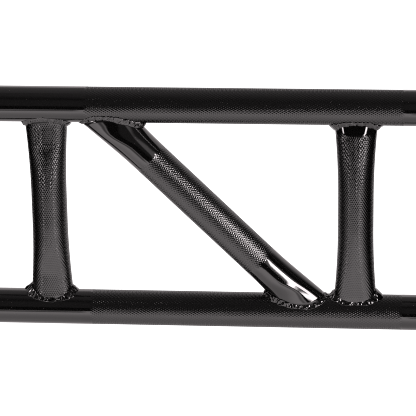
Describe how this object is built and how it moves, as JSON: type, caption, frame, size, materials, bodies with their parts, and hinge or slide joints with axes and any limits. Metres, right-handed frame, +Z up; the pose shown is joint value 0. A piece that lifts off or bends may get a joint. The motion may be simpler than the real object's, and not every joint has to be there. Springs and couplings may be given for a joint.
{
  "type": "welded ladder frame section",
  "caption": "Section of a welded black steel ladder frame: two round rails joined by upright and diagonal knurled hand grips with pressed, coped ends.",
  "frame": {"origin": "middle of the frame: midway between the rails' centre lines and between the rails' ends", "axes": "+X along the rails, to the right as seen from the front; +Z up, from the lower rail to the upper rail; -Y is the front"},
  "size_m": [0.45, 0.0334, 0.2348],
  "materials": {
    "rail": "gloss black coat over steel, crisp reflections, fine knurl on the middle band",
    "grip": "gloss black coat over steel, fine diamond knurl, smooth pressed ends",
    "weld": "gloss black coat over rippled weld beads"
  },
  "bodies": {
    "root": {"upper_rail": "rail", "lower_rail": "rail", "left_grip": "grip", "left_top_right_weld": "weld", "left_top_front_weld": "weld", "left_top_left_weld": "weld", "left_top_back_weld": "weld", "left_bottom_right_weld": "weld", "left_bottom_front_weld": "weld", "left_bottom_left_weld": "weld", "left_bottom_back_weld": "weld", "right_grip": "grip", "right_top_right_weld": "weld", "right_top_front_weld": "weld", "right_top_left_weld": "weld", "right_top_back_weld": "weld", "right_bottom_right_weld": "weld", "right_bottom_front_weld": "weld", "right_bottom_left_weld": "weld", "right_bottom_back_weld": "weld", "diagonal_grip": "grip", "diagonal_top_right_weld": "weld", "diagonal_top_front_weld": "weld", "diagonal_top_left_weld": "weld", "diagonal_top_back_weld": "weld", "diagonal_bottom_right_weld": "weld", "diagonal_bottom_front_weld": "weld", "diagonal_bottom_left_weld": "weld", "diagonal_bottom_back_weld": "weld"}
  },
  "joints": []
}
